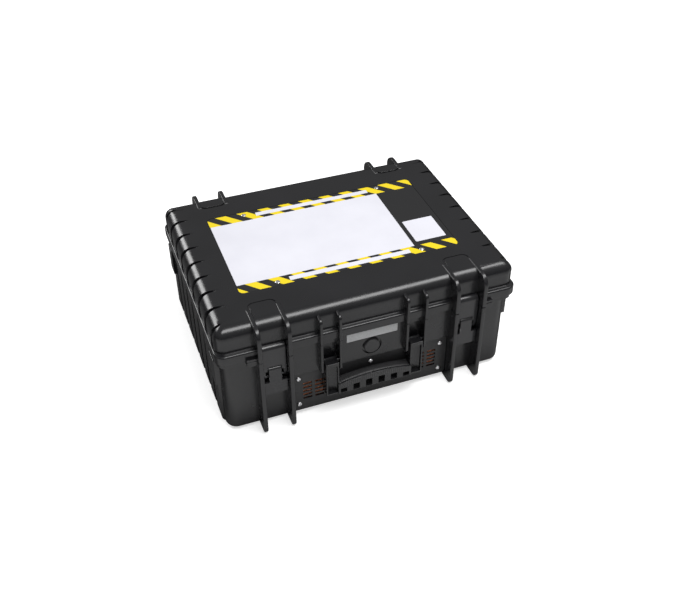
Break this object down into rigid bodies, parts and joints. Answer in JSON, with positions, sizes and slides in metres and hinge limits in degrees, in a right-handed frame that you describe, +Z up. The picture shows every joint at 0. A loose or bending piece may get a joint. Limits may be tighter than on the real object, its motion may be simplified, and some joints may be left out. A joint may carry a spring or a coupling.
{
  "type": "battery transport case",
  "caption": "Black moulded battery safety case with hinged ribbed lid, two draw latches, folding handle, vented front plate and foam lining",
  "frame": {"origin": "On the ground, under the centre of the closed case.", "axes": "+X runs along the case's width to the right seen from the latches, -Y is the latch and handle side, +Y the hinge side, +Z is up."},
  "size_m": [0.51, 0.418, 0.2165],
  "materials": {
    "moulding": "satin black polypropylene, fine moulded grain",
    "latch_plastic": "satin black nylon",
    "soft_rubber": "matt black soft grip with fine ribs",
    "seal_rubber": "matt dark grey cellular rubber",
    "steel": "plain stainless pin",
    "zinc": "bright zinc plated",
    "plate_paint": "black powder coat, fine texture",
    "copper_mesh": "knitted copper wire mesh",
    "aluminium": "plain sheet",
    "badge": "blank grey, fine grain",
    "membrane": "white porous film",
    "label_bands": "yellow and black slanted bands round a black field, satin film",
    "label_blank": "blank white satin film",
    "liner_board": "pressed mineral fibre board",
    "foam": "dark grey open cell foam"
  },
  "bodies": {
    "base": {"base_shell": "moulding", "hinge_pins": "steel", "latch_pivot_pins": "steel", "handle_pins": "steel", "valve_body": "latch_plastic", "valve_seal": "seal_rubber", "valve_membrane": "membrane", "valve_nut": "latch_plastic", "name_badge": "badge", "vent_plate": "plate_paint", "plate_gasket": "seal_rubber", "plate_screws": "zinc", "plate_nuts": "zinc", "arrestor_left": "copper_mesh", "arrestor_right": "copper_mesh", "arrestor_frames": "aluminium", "arrestor_screws": "zinc", "base_liner": "liner_board", "foam_floor": "foam", "foam_surround": "foam"},
    "lid": {"lid_shell": "moulding", "lid_seal": "seal_rubber", "label_sheet": "label_bands", "label_panel": "label_blank", "label_strips": "label_blank", "label_sticker": "label_blank", "lid_screws": "zinc", "lid_nuts": "zinc", "lid_liner": "liner_board", "lid_foam": "foam"},
    "lever_left": {"latch_lever_left": "latch_plastic", "hook_pin_left": "steel"},
    "lever_right": {"latch_lever_right": "latch_plastic", "hook_pin_right": "steel"},
    "hook_left": {"latch_hook_left": "latch_plastic"},
    "hook_right": {"latch_hook_right": "latch_plastic"},
    "handle": {"handle_frame": "latch_plastic", "handle_grip": "soft_rubber"},
    "knob": {"valve_knob": "latch_plastic"}
  },
  "joints": [
    {"name": "lid_hinge", "type": "hinge", "parent": "base", "child": "lid", "pos_m": [0, 0.199, 0.157], "axis": [-1, 0, 0], "range_deg": [0, 100]},
    {"name": "latch_left", "type": "hinge", "parent": "base", "child": "lever_left", "pos_m": [-0.165, -0.19, 0.126], "axis": [-1, 0, 0], "range_deg": [0, 90]},
    {"name": "hook_swing_left", "type": "hinge", "parent": "lever_left", "child": "hook_left", "pos_m": [-0.165, -0.1895, 0.1085], "axis": [1, 0, 0], "range_deg": [0, 90]},
    {"name": "latch_right", "type": "hinge", "parent": "base", "child": "lever_right", "pos_m": [0.165, -0.19, 0.126], "axis": [-1, 0, 0], "range_deg": [0, 90]},
    {"name": "hook_swing_right", "type": "hinge", "parent": "lever_right", "child": "hook_right", "pos_m": [0.165, -0.1895, 0.1085], "axis": [1, 0, 0], "range_deg": [0, 90]},
    {"name": "handle_fold", "type": "hinge", "parent": "base", "child": "handle", "pos_m": [0, -0.193, 0.11], "axis": [-1, 0, 0], "range_deg": [0, 100]},
    {"name": "valve_turn", "type": "hinge", "parent": "base", "child": "knob", "pos_m": [0, -0.19, 0.119], "axis": [0, -1, 0], "range_deg": [0, 180]}
  ],
  "couplings": [
    {"joint": "hook_swing_left", "follows": "latch_left", "ratio": 1},
    {"joint": "hook_swing_right", "follows": "latch_right", "ratio": 1}
  ]
}
